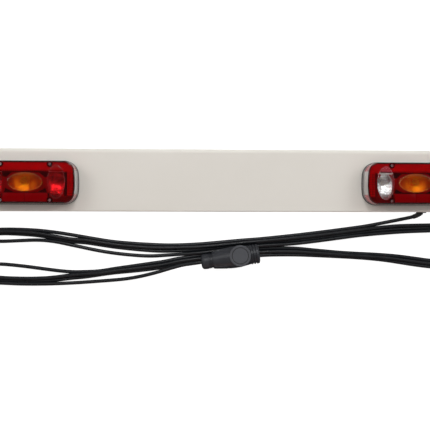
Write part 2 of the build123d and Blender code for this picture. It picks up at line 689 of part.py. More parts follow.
with BuildPart() as plug_front_collar:
    with BuildSketch(PLUG):
        with BuildLine():
            Polyline((110.6, 17.7), (110.6, 20.4), (111.4, 21.8), (114.2, 21.8), (115.0, 19.5), (116.6, 19.5),
                     (117.4, 21.8), (120.2, 21.8), (121.0, 19.5), (122.6, 19.5), (123.4, 21.8), (126.2, 21.8), (128.4, 21.0), (129.6, 19.8), (130.0, 18.4),
                     (130.0, 17.7), close=True)
        make_face()
    revolve(axis=PLUG_AXIS)
save(plug_front_collar, "plug_front_collar")

pin_ring = [(10.5 * math.cos(math.radians(60 * i + 30)), 10.5 * math.sin(math.radians(60 * i + 30)))
            for i in range(6)] + [(0, 0)]
with BuildPart() as plug_contact_insert:
    with BuildSketch(Plane(origin=along(95.0), z_dir=PA)):
        Circle(17.5)
        with Locations(*pin_ring):
            Circle(2.42, mode=Mode.SUBTRACT)
    extrude(amount=17.0)
save(plug_contact_insert, "plug_contact_insert")

with BuildPart() as plug_pins:
    with BuildSketch(Plane(origin=along(91.0), z_dir=PA)):
        with Locations(*pin_ring):
            Circle(2.4)
    extrude(amount=29.0)
    tips = plug_pins.faces().filter_by(GeomType.PLANE).sort_by(PLUG_AXIS)[-7:]
    fillet(tips.edges(), 1.2)
save(plug_pins, "plug_pins")
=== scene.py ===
import json
import math

import bmesh
import bpy
from mathutils import Matrix, Vector
from mathutils.geometry import delaunay_2d_cdt


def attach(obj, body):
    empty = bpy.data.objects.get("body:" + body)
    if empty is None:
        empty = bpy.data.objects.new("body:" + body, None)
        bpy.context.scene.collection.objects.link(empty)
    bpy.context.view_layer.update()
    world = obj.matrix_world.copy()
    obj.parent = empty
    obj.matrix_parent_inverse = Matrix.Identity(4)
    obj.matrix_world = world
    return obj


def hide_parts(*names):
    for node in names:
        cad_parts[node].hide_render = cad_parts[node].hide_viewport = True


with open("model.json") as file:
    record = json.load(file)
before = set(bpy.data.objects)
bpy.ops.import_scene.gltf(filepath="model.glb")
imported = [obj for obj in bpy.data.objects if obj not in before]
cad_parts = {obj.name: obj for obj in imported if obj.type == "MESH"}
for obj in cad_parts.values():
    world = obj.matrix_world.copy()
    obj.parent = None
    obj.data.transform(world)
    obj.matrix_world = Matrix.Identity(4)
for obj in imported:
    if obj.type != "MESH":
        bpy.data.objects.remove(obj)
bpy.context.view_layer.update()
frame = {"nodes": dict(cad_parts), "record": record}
N = frame["nodes"]
scene = bpy.context.scene
MM = 0.001

# ---------------------------------------------------------------------------
# Camera: looks straight down on the board, a little from its left
# ---------------------------------------------------------------------------
cam_data = bpy.data.cameras.new("camera")
cam = bpy.data.objects.new("camera", cam_data)
scene.collection.objects.link(cam)
cam_at = Vector((-0.10734, -0.07747, 1.82501))
cam_to = Vector((-0.014637, -0.077466, 0.030))
back = (cam_at - cam_to).normalized()
right = Vector((0, 1, 0)).cross(back).normalized()
up = back.cross(right)
ROLL = 0.0019
r2 = right * math.cos(ROLL) + up * math.sin(ROLL)
u2 = up * math.cos(ROLL) - right * math.sin(ROLL)
cam.matrix_world = Matrix(((r2.x, u2.x, back.x, cam_at.x), (r2.y, u2.y, back.y, cam_at.y),
                           (r2.z, u2.z, back.z, cam_at.z), (0, 0, 0, 1)))
cam_data.sensor_width = 36.0
cam_data.lens = 804.82 / 430.0 * 36.0
cam_data.clip_end = 50.0
scene.camera = cam
scene.view_settings.view_transform = "Standard"


# ---------------------------------------------------------------------------
# Materials
# ---------------------------------------------------------------------------
def principled(name, **constants):
    m = bpy.data.materials.new(name)
    m.use_nodes = True
    nt = m.node_tree
    bsdf = nt.nodes.get("Principled BSDF")
    for k, v in constants.items():
        bsdf.inputs[k.replace("_", " ")].default_value = v
    return m, nt, bsdf


def coords(nt, scale=(1, 1, 1)):
    tc = nt.nodes.new("ShaderNodeTexCoord")
    mp = nt.nodes.new("ShaderNodeMapping")
    mp.inputs["Scale"].default_value = scale
    nt.links.new(tc.outputs["Object"], mp.inputs["Vector"])
    return mp.outputs["Vector"]


def noise(nt, vec, scale, detail=3.0, rough=0.55):
    n = nt.nodes.new("ShaderNodeTexNoise")
    n.inputs["Scale"].default_value = scale
    n.inputs["Detail"].default_value = detail
    n.inputs["Roughness"].default_value = rough
    nt.links.new(vec, n.inputs["Vector"])
    return n.outputs["Fac"]


def ramp(nt, fac, stops):
    r = nt.nodes.new("ShaderNodeValToRGB")
    e = r.color_ramp.elements
    while len(e) < len(stops):
        e.new(0.5)
    for el, (p, c) in zip(e, stops):
        el.position = p
        el.color = (*c, 1.0)
    nt.links.new(fac, r.inputs["Fac"])
    return r.outputs["Color"]


def span(nt, fac, lo, hi, a=0.3, b=0.7):
    m = nt.nodes.new("ShaderNodeMapRange")
    m.inputs["From Min"].default_value = a
    m.inputs["From Max"].default_value = b
    m.inputs["To Min"].default_value = lo
    m.inputs["To Max"].default_value = hi
    nt.links.new(fac, m.inputs["Value"])
    return m.outputs["Result"]


def bump(nt, bsdf, height, strength, distance):
    b = nt.nodes.new("ShaderNodeBump")
    b.inputs["Strength"].default_value = strength
    b.inputs["Distance"].default_value = distance
    nt.links.new(height, b.inputs["Height"])
    nt.links.new(b.outputs["Normal"], bsdf.inputs["Normal"])
    return b


def surface(name, dark, light, rough, grain=500.0, bump_strength=0.1, bump_mm=0.05, blotch=18.0,
            stretch=(1, 1, 1), **constants):
    """Moulded or painted surface: colour drift, uneven gloss and a fine grain."""
    m, nt, b = principled(name, **constants)
    v = coords(nt, stretch)
    nt.links.new(ramp(nt, noise(nt, v, blotch), [(0.3, dark), (0.7, light)]), b.inputs["Base Color"])
    nt.links.new(span(nt, noise(nt, v, blotch * 2.7, 4.0), rough[0], rough[1]), b.inputs["Roughness"])
    bump(nt, b, noise(nt, v, grain, 2.0), bump_strength, bump_mm * MM)
    return m


MAT = {}
MAT["white_paint"] = surface("white_paint", (0.835, 0.810, 0.752), (0.855, 0.830, 0.775), (0.36, 0.46), 700, 0.10, 0.02, 6,
                             Specular_IOR_Level=0.25)
MAT["white_plastic"] = surface("white_plastic", (0.70, 0.68, 0.63), (0.74, 0.72, 0.68), (0.42, 0.55), 900, 0.12, 0.03, 20)
MAT["black_plastic"] = surface("black_plastic", (0.010, 0.010, 0.011), (0.018, 0.018, 0.020), (0.38, 0.55), 900, 0.2, 0.05, 25)
MAT["plug_plastic"] = surface("plug_plastic", (0.017, 0.019, 0.025), (0.026, 0.029, 0.037), (0.34, 0.50), 1100, 0.18, 0.04, 40)
MAT["rubber"] = surface("rubber", (0.008, 0.008, 0.008), (0.014, 0.014, 0.014), (0.55, 0.75), 900, 0.25, 0.06, 40)
MAT["cable_pvc"] = surface("cable_pvc", (0.0050, 0.0062, 0.0084), (0.0095, 0.0114, 0.0145), (0.26, 0.36), 800, 0.12, 0.04, 30,
                           Specular_IOR_Level=0.34)
MAT["white_nylon"] = surface("white_nylon", (0.66, 0.65, 0.61), (0.74, 0.73, 0.70), (0.45, 0.6), 900, 0.15, 0.04, 40)
MAT["brass"] = surface("brass", (0.62, 0.44, 0.16), (0.74, 0.56, 0.26), (0.22, 0.40), 600, 0.1, 0.02, 60, Metallic=1.0)
MAT["plated_steel"] = surface("plated_steel", (0.52, 0.52, 0.53), (0.66, 0.66, 0.66), (0.22, 0.40), 700, 0.1, 0.02, 90, Metallic=1.0)
MAT["reflector"] = surface("reflector", (0.60, 0.60, 0.605), (0.66, 0.66, 0.665), (0.12, 0.18), 300, 0.05, 0.04, 60, Metallic=1.0)
# side cap: lighter grey than the plug body, the lightness a painted sheen of the overhead light on its up-facing face
MAT["cap_plastic_painted_sheen"] = surface("cap_plastic_painted_sheen", (0.054, 0.057, 0.068), (0.066, 0.070, 0.082), (0.44, 0.58), 900, 0.12, 0.03, 40)
MAT["tray_red"] = surface("tray_red", (0.30, 0.008, 0.012), (0.36, 0.011, 0.015), (0.45, 0.6), 700, 0.15, 0.05, 30)
# painted shade: near-black red, laid as thin sheets in the lamp where shade falls
MAT["painted_shade_dark"] = surface("painted_shade_dark", (0.034, 0.004, 0.005), (0.050, 0.006, 0.007), (0.6, 0.8), 700, 0.15, 0.05, 30)
# painted shade, a lighter dark red: on the tray's foot below the round bowls and on the right lamp's strip beside the
# plate lamp
MAT["painted_shade_red"] = surface("painted_shade_red", (0.15, 0.006, 0.012), (0.19, 0.008, 0.016), (0.5, 0.65), 700, 0.15, 0.05, 30)
MAT["shelf_red"] = surface("shelf_red", (0.64, 0.022, 0.056), (0.69, 0.026, 0.066), (0.4, 0.55), 500, 0.1, 0.04, 30)
MAT["band_red"] = surface("band_red", (0.64, 0.014, 0.034), (0.70, 0.018, 0.042), (0.4, 0.55), 500, 0.1, 0.04, 30)
MAT["bead"] = surface("bead", (0.72, 0.72, 0.73), (0.80, 0.80, 0.81), (0.2, 0.35), 700, 0.1, 0.03, 60)
MAT["bead_red"] = surface("bead_red", (0.62, 0.080, 0.040), (0.70, 0.100, 0.050), (0.3, 0.45), 700, 0.1, 0.03, 60)
MAT["foam"] = surface("foam", (0.50, 0.48, 0.46), (0.60, 0.58, 0.56), (0.75, 0.9), 1400, 0.4, 0.1, 60)
MAT["shelf_white"] = surface("shelf_white", (0.66, 0.64, 0.62), (0.74, 0.72, 0.70), (0.4, 0.55), 500, 0.1, 0.04, 30)


def lens(name, dark, light, rough=(0.02, 0.06), ior=1.45, transmission=1.0, ripple=0.03, shine=0.5):
    m, nt, b = principled(name, IOR=ior, Transmission_Weight=transmission, Specular_IOR_Level=shine)
    v = coords(nt)
    nt.links.new(ramp(nt, noise(nt, v, 22), [(0.3, dark), (0.7, light)]), b.inputs["Base Color"])
    nt.links.new(span(nt, noise(nt, v, 60, 4.0), rough[0], rough[1]), b.inputs["Roughness"])
    bump(nt, b, noise(nt, v, 260, 1.0), ripple, 0.05 * MM)
    return m


MAT["red_lens"] = lens("red_lens", (0.88, 0.085, 0.13), (0.94, 0.105, 0.155), shine=0.35)
MAT["red_deep"] = lens("red_deep", (0.79, 0.095, 0.110), (0.83, 0.110, 0.125), shine=0.1)
MAT["amber_lens"] = lens("amber_lens", (0.95, 0.52, 0.060), (0.99, 0.58, 0.080), shine=0.1)
MAT["clear_lens"] = lens("clear_lens", (0.94, 0.94, 0.94), (0.98, 0.98, 0.98), rough=(0.0, 0.02))


def pane(name):
    """Clear end pane, a little milky, its corners painted pink: a painted stand-in for the red of the lens showing
    through them.
    """
    m, nt, b = principled(name, IOR=1.45, Transmission_Weight=0.62, Specular_IOR_Level=0.2)
    v = coords(nt)
    sep = nt.nodes.new("ShaderNodeSeparateXYZ")
    nt.links.new(v, sep.inputs["Vector"])
    off = nt.nodes.new("ShaderNodeMath")
    off.operation = "ADD"
    off.inputs[1].default_value = 0.0062
    nt.links.new(sep.outputs["Y"], off.inputs[0])
    size = nt.nodes.new("ShaderNodeMath")
    size.operation = "ABSOLUTE"
    nt.links.new(off.outputs["Value"], size.inputs[0])
    # painted tint: pink towards the top and bottom corners, for the red lens seen through them
    painted_red_corners = span(nt, size.outputs["Value"], 0.0, 1.0, 0.0245, 0.0285)
    mix = nt.nodes.new("ShaderNodeMix")
    mix.data_type = "RGBA"
    nt.links.new(painted_red_corners, mix.inputs["Factor"])
    nt.links.new(ramp(nt, noise(nt, v, 22), [(0.3, (0.88, 0.84, 0.82)), (0.7, (0.93, 0.90, 0.88))]), mix.inputs["A"])
    nt.links.new(ramp(nt, noise(nt, v, 22), [(0.3, (0.86, 0.20, 0.24)), (0.7, (0.90, 0.26, 0.30))]), mix.inputs["B"])
    nt.links.new(mix.outputs["Result"], b.inputs["Base Color"])
    nt.links.new(span(nt, noise(nt, v, 60, 4.0), 0.12, 0.25), b.inputs["Roughness"])
    bump(nt, b, noise(nt, v, 260, 1.0), 0.03, 0.05 * MM)
    return m


MAT["pane"] = pane("pane")
MAT["bulb_glass"] = surface("bulb_glass", (0.80, 0.80, 0.81), (0.90, 0.90, 0.90), (0.04, 0.10), 300, 0.02, 0.02, 60, Alpha=0.10)


def tipped(name, dark, light):
    """Metallised dish that turns to a dull dark red, without metal, at its lower tip."""
    m, nt, b = principled(name)
    v = coords(nt)
    sep = nt.nodes.new("ShaderNodeSeparateXYZ")
    nt.links.new(v, sep.inputs["Vector"])
    fac = span(nt, sep.outputs["Y"], 1.0, 0.0, -0.0385, -0.0285)
    mix = nt.nodes.new("ShaderNodeMix")
    mix.data_type = "RGBA"
    nt.links.new(fac, mix.inputs["Factor"])
    nt.links.new(ramp(nt, noise(nt, v, 60), [(0.3, dark), (0.7, light)]), mix.inputs["A"])
    nt.links.new(ramp(nt, noise(nt, v, 60), [(0.3, (0.20, 0.040, 0.045)), (0.7, (0.25, 0.050, 0.055))]), mix.inputs["B"])
    nt.links.new(mix.outputs["Result"], b.inputs["Base Color"])
    nt.links.new(span(nt, fac, 1.0, 0.0, 0.0, 1.0), b.inputs["Metallic"])
    nt.links.new(span(nt, fac, 0.07, 0.5, 0.0, 1.0), b.inputs["Roughness"])
    bump(nt, b, noise(nt, v, 300, 2.0), 0.05, 0.04 * MM)
    return m


MAT["reflector_tip"] = tipped("reflector_tip", (0.62, 0.62, 0.625), (0.68, 0.68, 0.685))
# a lighter copy of the dish metal for the right lamp: painted light that brightens its reversing window
MAT["reflector_lit_copy"] = tipped("reflector_lit_copy", (0.73, 0.73, 0.735), (0.79, 0.79, 0.795))


def fading(name):
    """Red moulding under a bright varnish that dies out towards both ends of the oval."""
    m, nt, b = principled(name, Roughness=0.6, Specular_IOR_Level=0.1, Coat_IOR=3.4, Coat_Roughness=0.14)
    v = coords(nt)
    sep = nt.nodes.new("ShaderNodeSeparateXYZ")
    nt.links.new(v, sep.inputs["Vector"])
    side = nt.nodes.new("ShaderNodeMath")
    side.operation = "ABSOLUTE"
    nt.links.new(sep.outputs["X"], side.inputs[0])
    off = nt.nodes.new("ShaderNodeMath")
    off.operation = "SUBTRACT"
    off.inputs[1].default_value = 0.433
    nt.links.new(side.outputs["Value"], off.inputs[0])
    gone = nt.nodes.new("ShaderNodeMath")
    gone.operation = "ABSOLUTE"
    nt.links.new(off.outputs["Value"], gone.inputs[0])
    fac = span(nt, gone.outputs["Value"], 0.0, 1.0, 0.011, 0.025)
    mix = nt.nodes.new("ShaderNodeMix")
    mix.data_type = "RGBA"
    nt.links.new(fac, mix.inputs["Factor"])
    nt.links.new(ramp(nt, noise(nt, v, 60), [(0.3, (0.80, 0.060, 0.030)), (0.7, (0.88, 0.070, 0.035))]), mix.inputs["A"])
    nt.links.new(ramp(nt, noise(nt, v, 60), [(0.3, (0.42, 0.012, 0.014)), (0.7, (0.48, 0.015, 0.018))]), mix.inputs["B"])
    nt.links.new(mix.outputs["Result"], b.inputs["Base Color"])
    nt.links.new(span(nt, fac, 1.0, 0.05, 0.0, 1.0), b.inputs["Coat Weight"])
    bump(nt, b, noise(nt, v, 300, 2.0), 0.05, 0.04 * MM)
    return m


MAT["reflector_fade"] = fading("reflector_fade")


def retro(name):
    """Red prismatic reflector: a hexagon cell field under a gloss face."""
    m, nt, b = principled(name, Specular_IOR_Level=0.03)
    v = coords(nt)
    vo = nt.nodes.new("ShaderNodeTexVoronoi")
    vo.inputs["Scale"].default_value = 520.0
    vo.inputs["Randomness"].default_value = 0.15
    nt.links.new(v, vo.inputs["Vector"])
    nt.links.new(ramp(nt, vo.outputs["Distance"], [(0.1, (0.215, 0.0012, 0.003)), (0.7, (0.170, 0.0008, 0.002))]),
                 b.inputs["Base Color"])
    nt.links.new(span(nt, noise(nt, v, 40), 0.10, 0.2), b.inputs["Roughness"])
    bump(nt, b, vo.outputs["Distance"], 0.12, 0.1 * MM)
    return m


MAT["retro_red"] = retro("retro_red")


def paint_node(name, key):
    o = N[name]
    o.data.materials.clear()
    o.data.materials.append(MAT[key])


for sub in frame["record"]["subparts"]:
    key = sub["material_slot"]
    paint_node(sub["node"], key)
for side in ("left", "right"):
    paint_node(f"{side}_plate_window", "pane")
    paint_node(f"{side}_lamp_gasket", "foam")
# the side cap's lighter grey is painted sheen
paint_node("plug_side_cap", "cap_plastic_painted_sheen")


# ---------------------------------------------------------------------------
# Pieces made here
# ---------------------------------------------------------------------------
def piece(name, verts, faces, mats, stands_for=(), face_mats=None, sharp=35.0, flip_check=True):
    me = bpy.data.meshes.new(name)
    me.from_pydata([tuple(v) for v in verts], [], faces)
    bm = bmesh.new()
    bm.from_mesh(me)
    bmesh.ops.remove_doubles(bm, verts=bm.verts, dist=1e-7)
    if flip_check:
        bmesh.ops.recalc_face_normals(bm, faces=bm.faces)
    bm.to_mesh(me)
    bm.free()
    for m in mats:
        me.materials.append(MAT[m])
    if face_mats is not None:
        for p, k in zip(me.polygons, face_mats):
            p.material_index = k
    me.shade_smooth()
    me.set_sharp_from_angle(angle=math.radians(sharp))
    o = bpy.data.objects.new(name, me)
    scene.collection.objects.link(o)
    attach(o, "root")
    if stands_for:
        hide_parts(*stands_for)
    return o


# ---------------------------------------------------------------------------
# Lead: boot, hank and tail in one line, millimetres
# ---------------------------------------------------------------------------
lead = [(463.2, -64.3, 14), (461.2, -66.3, 14), (453.8, -73.7, 14), (444.7, -79, 14), (434.5, -81.7, 14), (412, -86.4, 12.3),
        (387, -91.6, 9), (364, -96.2, 6.8), (341, -100.6, 5.2), (318, -104.4, 4.4)]
run_1 = [(265.5, -111.4, 4.2), (208.1, -118.7, 4.2), (157.6, -124.5, 4.2), (89.1, -131.6, 4.2), (50.4, -134.4, 4.2),
         (9.5, -138.1, 4.2), (-47.2, -143.4, 4.2), (-96.9, -145.6, 4.2), (-126.2, -145.7, 4.2), (-160, -144.3, 4.2),
         (-200.4, -141.8, 4.2), (-240.8, -138.3, 4.2), (-272.1, -133.5, 4.2), (-305.6, -127.6, 4.2), (-336.8, -122.2, 4.2),
         (-374.6, -116.4, 4.2), (-410.1, -112.5, 4.2), (-450, -110.4, 4.2), (-494.1, -110.1, 4.2)]
fold_1 = [(-525, -112.6, 4.2), (-552, -120.5, 4.2), (-574, -135.5, 4.2), (-586, -155, 4.2), (-589, -176, 4.2),
          (-581, -196, 4.2), (-563, -211, 4.2), (-541, -219.5, 4.2), (-518, -223, 4.2)]
run_2 = [(-493.9, -223.8, 4.2), (-449.7, -226, 4.2), (-409.9, -226.1, 4.2), (-374.4, -224.9, 4.2), (-336.6, -219.7, 4.2),
         (-305.4, -217.3, 4.4), (-271.9, -212.2, 4.8), (-240.6, -207.8, 4.4), (-200.3, -204.3, 4.2), (-159.9, -200.2, 4.2),
         (-126.1, -195.1, 4.2), (-96.8, -187.6, 4.2), (-47.1, -182, 4.2), (9.5, -178.5, 4.2), (50.4, -174, 4.2),
         (89.2, -168.3, 4.2), (157.7, -167.2, 4.2), (208.1, -168.9, 4.2), (265.6, -171.6, 4.2), (304.8, -173.7, 4.2),
         (346.5, -176.8, 4.2), (378.9, -180.5, 4.2), (411.4, -185.5, 4.2), (446.3, -191.1, 4.2), (481.2, -195.5, 4.2)]
fold_2 = [(509, -196.8, 4.2), (535, -192, 4.2), (557, -180, 4.2), (570.5, -162, 4.2), (571.5, -141, 7), (564.5, -125, 12.4),
          (551, -115, 12.6), (533, -110, 12.6), (512, -109.5, 12.6), (495, -111.2, 10.8)]
run_3 = [(481, -112.8, 8.5), (446.1, -113.8, 8.6), (411.2, -115.4, 8.3), (378.8, -117.8, 8.4), (346.3, -120.4, 8.8),
         (304.8, -124.6, 9.4), (265.6, -129.9, 9.4), (208.1, -137.6, 9.6), (157.7, -143.2, 10.2), (89.1, -146.6, 11),
         (50.4, -150.6, 10.5), (9.5, -155.8, 9.9), (-47.2, -163.3, 9.5), (-96.9, -166.5, 6.2), (-126.2, -168.6, 4.5),
         (-159.9, -170.7, 4.2), (-200.4, -168.2, 4.2), (-240.7, -163.8, 4.2), (-272, -158.8, 4.5), (-305.5, -151.7, 6.1),
         (-336.7, -144.7, 9.4), (-374.6, -136.6, 9.5), (-410.1, -133.8, 6.2), (-449.9, -135.5, 4.5), (-494.1, -137.6, 4.2)]
fold_3 = [(-504.7, -135.2, 4.2), (-519.3, -134.9, 4.2), (-532, -142.2, 4.2), (-539.3, -154.9, 4.2), (-539.3, -169.5, 4.2),
          (-532, -182.2, 4.2), (-519.3, -189.5, 4.2), (-504.7, -189.2, 4.2)]
run_4 = [(-494, -187.4, 4.2), (-449.8, -191.6, 4.2), (-409.9, -196.9, 4.2), (-374.4, -201.9, 4.2), (-336.6, -205.9, 4.2),
         (-305.4, -205.5, 4.2), (-272, -204.1, 4.2), (-240.7, -198.5, 4.2), (-200.3, -192.9, 4.2), (-159.9, -187.1, 4.2),
         (-126.2, -182.5, 4.2), (-96.9, -175.7, 4.2), (-47.1, -169.2, 4.2), (9.5, -162, 4.2), (50.4, -157.5, 4.2),
         (89.1, -153.2, 4.2), (157.7, -151.6, 4.2), (208.1, -156.4, 4.2), (265.6, -161.9, 4.2), (304.8, -164.4, 4.2),
         (346.4, -166.3, 4.2), (378.9, -168.4, 4.2), (411.3, -171.3, 4.2), (446.2, -176.1, 4.2), (481.2, -181, 4.2)]
fold_4 = [(504, -181.5, 4.2), (524, -174.5, 4.2), (538, -161, 4.2), (542, -144, 4.2), (537, -127, 4.2), (524, -114, 4.2),
          (507, -107, 4.2)]
run_5 = [(481, -105.9, 4.2), (446.1, -107, 4.2), (411.2, -108.3, 4.2), (378.7, -110.7, 4.2), (346.3, -113.7, 4.2),
         (304.7, -118.5, 4.2), (265.6, -123.7, 4.2), (208.1, -131.2, 4.2), (157.6, -135.7, 4.2), (89.1, -140.9, 4.2),
         (50.4, -145.5, 4.2), (9.5, -149.9, 4.2), (-47.2, -155.8, 4.2), (-96.9, -158.4, 4.2), (-126.2, -159.5, 4.2),
         (-160, -158.2, 4.2), (-200.4, -154.5, 4.2), (-240.7, -150, 4.2), (-272.1, -145.1, 4.2), (-305.6, -139.7, 4.2),
         (-336.7, -138.5, 4.2), (-374.6, -130.5, 4.2), (-410.1, -123.8, 4.2), (-449.9, -120.9, 4.2), (-494.1, -119.3, 4.2)]
fold_5 = [(-521, -124, 4.2), (-543, -135, 4.2), (-557.5, -151, 4.2), (-562.5, -170, 4.2), (-557, -188.5, 4.2),
          (-542, -203.5, 5.4), (-520, -213.5, 8.4)]
run_6 = [(-493.9, -217.8, 9.6), (-449.8, -219.7, 9.3), (-409.9, -219.7, 9.1), (-374.4, -217.7, 8.8), (-336.6, -212.3, 9.4),
         (-305.4, -210.3, 10.7), (-271.9, -208.1, 11.9), (-240.6, -203, 10.9), (-200.3, -198.6, 10), (-159.9, -193.7, 9.5),
         (-126.1, -189, 9.5), (-96.8, -181.9, 9.9), (-47.1, -175.5, 9.2), (9.5, -170.3, 5), (50.4, -165.7, 4.4),
         (89.1, -160.9, 7), (157.7, -159.2, 8.4), (208.1, -162.4, 9.4), (265.6, -166.7, 10.7), (304.8, -169.1, 10.9),
         (346.4, -171.7, 10.4), (378.9, -174.5, 9.6), (411.4, -178.4, 8.5), (446.2, -183.6, 7.9), (481.2, -188.1, 8.1)]
fold_6 = [(507, -189, 6.5), (532, -183.6, 4.6), (550, -170.5, 4.2), (559, -153, 4.2), (559, -134, 4.2), (550, -116.5, 4.2),
          (532.5, -103.5, 4.6), (508, -98.8, 7.4)]
run_7 = [(481, -99.5, 9.1), (446.1, -100.2, 8.6), (411.2, -101, 8.1), (378.7, -103.6, 8.2), (346.3, -107.1, 8.8),
         (304.7, -112.5, 9.6), (265.5, -117.5, 9.5), (208.1, -124.8, 9.7), (157.6, -130.1, 10.2), (89.1, -136.5, 11),
         (50.4, -140.1, 10.4), (9.5, -144.3, 10), (-47.2, -149.7, 10), (-96.9, -150.9, 10.3), (-126.2, -151.4, 9.9),
         (-160, -151, 9.3), (-200.4, -148.1, 9.3), (-240.8, -144.2, 9.8), (-272.1, -139.1, 10), (-305.6, -133.7, 9.8),
         (-336.8, -132.4, 9.8), (-374.6, -124.8, 10.1), (-410.1, -119, 10.7), (-450, -115.7, 10.7), (-494.1, -114.6, 10.9)]
fold_7 = [(-524, -118.5, 10.6), (-549, -128, 8), (-566, -142.5, 4.8), (-574.5, -159, 4.4), (-576.5, -178, 7.6),
          (-573, -196, 12.5), (-565, -211.5, 12.5), (-548, -223, 11.4), (-522, -229, 10.4)]
run_8 = [(-493.9, -229.6, 9.8), (-449.7, -232, 9.6), (-409.9, -232.3, 9.4), (-374.4, -231.9, 8.4), (-336.6, -230.6, 5.7),
         (-305.4, -228.9, 4.4)]
tail = [(-254, -225.2, 4.2), (-236, -223.8, 4.4), (-212, -221.4, 5), (-184, -216.6, 6.4), (-157, -210.2, 9.6),
        (-132, -202.9, 14.6), (-108, -195.2, 21.2), (-86, -188.9, 27.4), (-62.9, -185.49, 32.3), (-37.19, -181.61, 32.5),
        (-11.48, -177.73, 32.5)]
route = (lead + run_1 + fold_1 + run_2 + fold_2 + run_3 + fold_3 + run_4 + fold_4 + run_5 + fold_5 + run_6 + fold_6
         + run_7 + fold_7 + run_8 + tail)

curve = bpy.data.curves.new("lead", "CURVE")
curve.dimensions = "3D"
curve.resolution_u = 8
curve.bevel_depth = 4.1 * MM
curve.bevel_resolution = 5
curve.use_fill_caps = True
spline = curve.splines.new("NURBS")
spline.points.add(len(route) - 1)
for pt, (x, y, z) in zip(spline.points, route):
    pt.co = (x * MM, y * MM, z * MM, 1.0)
spline.order_u = 3
spline.use_endpoint_u = True
curve.materials.append(MAT["cable_pvc"])
cable = bpy.data.objects.new("lead", curve)
scene.collection.objects.link(cable)
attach(cable, "root")
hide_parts("cable_hank", "cable_lead", "cable_plug_tail")

# ---------------------------------------------------------------------------
# Lamps. u runs to the middle of the board, v up it, w out of its face
# ---------------------------------------------------------------------------
LAMP_X, LAMP_Y, FACE = 428.0, -6.8, 28.0


def placer(s):
    return lambda u, v, w: ((-s * LAMP_X + s * u) * MM, (LAMP_Y + v) * MM, (FACE + w) * MM)


def ellipse(cu, cv, a, b, n=96):
    return [(cu + a * math.cos(2 * math.pi * i / n), cv + b * math.sin(2 * math.pi * i / n)) for i in range(n)]


def outline(half_l, half_h, corner, sag=5.0, n=10):
    """Lamp outline: straight long sides, bulged ends, round corners."""
    pts = []
    for su, sv in ((1, 1), (-1, 1), (-1, -1), (1, -1)):
        cu, cv = su * (half_l - sag * 0.55 - corner), sv * (half_h - corner)
        a0 = {(1, 1): 0, (-1, 1): 90, (-1, -1): 180, (1, -1): 270}[(su, sv)]
        for i in range(n + 1):
            t = math.radians(a0 + 90.0 * i / n)
            pts.append((cu + corner * math.cos(t), cv + corner * math.sin(t)))
    return [(u + (math.copysign(sag * 0.55 * max(0.0, 1 - (v / half_h) ** 2), u) if abs(u) > half_l * 0.75 else 0.0), v)
            for u, v in pts]


def window(name, s, cu, half, w_rim, shoulder, crown, pitch, depth, mat, node):
    """Raised oval window: crowned outside, a field of small diamond prisms inside."""
    P = placer(s)
    a, b = half[0] - 0.15, half[1] - 0.15
    cv = 0.6
    n = 96
    verts, faces = [], []
    rings = [1.0, 0.9985, 0.994, 0.986, 0.974, 0.955, 0.92, 0.84, 0.70, 0.50, 0.25]
    for r in rings:
        h = w_rim + shoulder * (max(0.0, 1 - r ** 44)) ** 0.5 + crown * (1 - r * r)
        for u, v in ellipse(cu, cv, a * r, b * r, n):
            verts.append(P(u, v, h))
    verts.append(P(cu, cv, w_rim + shoulder + crown))
    for k in range(len(rings) - 1):
        for i in range(n):
            j = (i + 1) % n
            faces.append((k * n + i, k * n + j, (k + 1) * n + j, (k + 1) * n + i))
    top = (len(rings) - 1) * n
    for i in range(n):
        faces.append((top + i, top + (i + 1) % n, len(verts) - 1))
    # inner side
    w_in = 41.4
    pu, pv = pitch
    edge = ellipse(cu, cv, a, b, n)
    pts = [Vector(p) for p in edge]
    cons = [(i, (i + 1) % n) for i in range(n)]
    inner = ellipse(cu, cv, a * 0.95, b * 0.965, n)
    base_i = len(pts)
    pts += [Vector(p) for p in inner]
    cons += [(base_i + i, base_i + (i + 1) % n) for i in range(n)]
    index = {}
    ku, kv = int(a / pu) + 2, int(b / pv) + 2
    for i in range(-ku, ku + 1):
        for j in range(-kv, kv + 1):
            du, dv = i * pu, j * pv
            if (du / (a * 0.93)) ** 2 + (dv / (b * 0.95)) ** 2 < 1:
                index[(i, j)] = len(pts)
                pts.append(Vector((cu + du, cv + dv)))
    for (i, j), k in index.items():
        if (i + j) % 2 == 0:
            for di, dj in ((1, 1), (1, -1)):
                if (i + di, j + dj) in index:
                    cons.append((k, index[(i + di, j + dj)]))
    out_v, _, out_f, orig_v, _, _ = delaunay_2d_cdt(pts, cons, [list(range(n))], 1, 1e-5)
    peak = {k for (i, j), k in index.items() if (i + j) % 2}
    base = len(verts)
    for p, o in zip(out_v, orig_v):
        is_peak = any(q in peak for q in o)
        verts.append(P(p.x, p.y, w_in - (depth if is_peak else 0.0)))
    for f in out_f:
        faces.append(tuple(base + k for k in f))
    back = {}
    for k, o in enumerate(orig_v):
        for q in o:
            back[q] = base + k
    for i in range(n):
        j = (i + 1) % n
        faces.append((i, j, back[j], back[i]))
    return piece(name, verts, faces, [mat], [node], sharp=14.0)


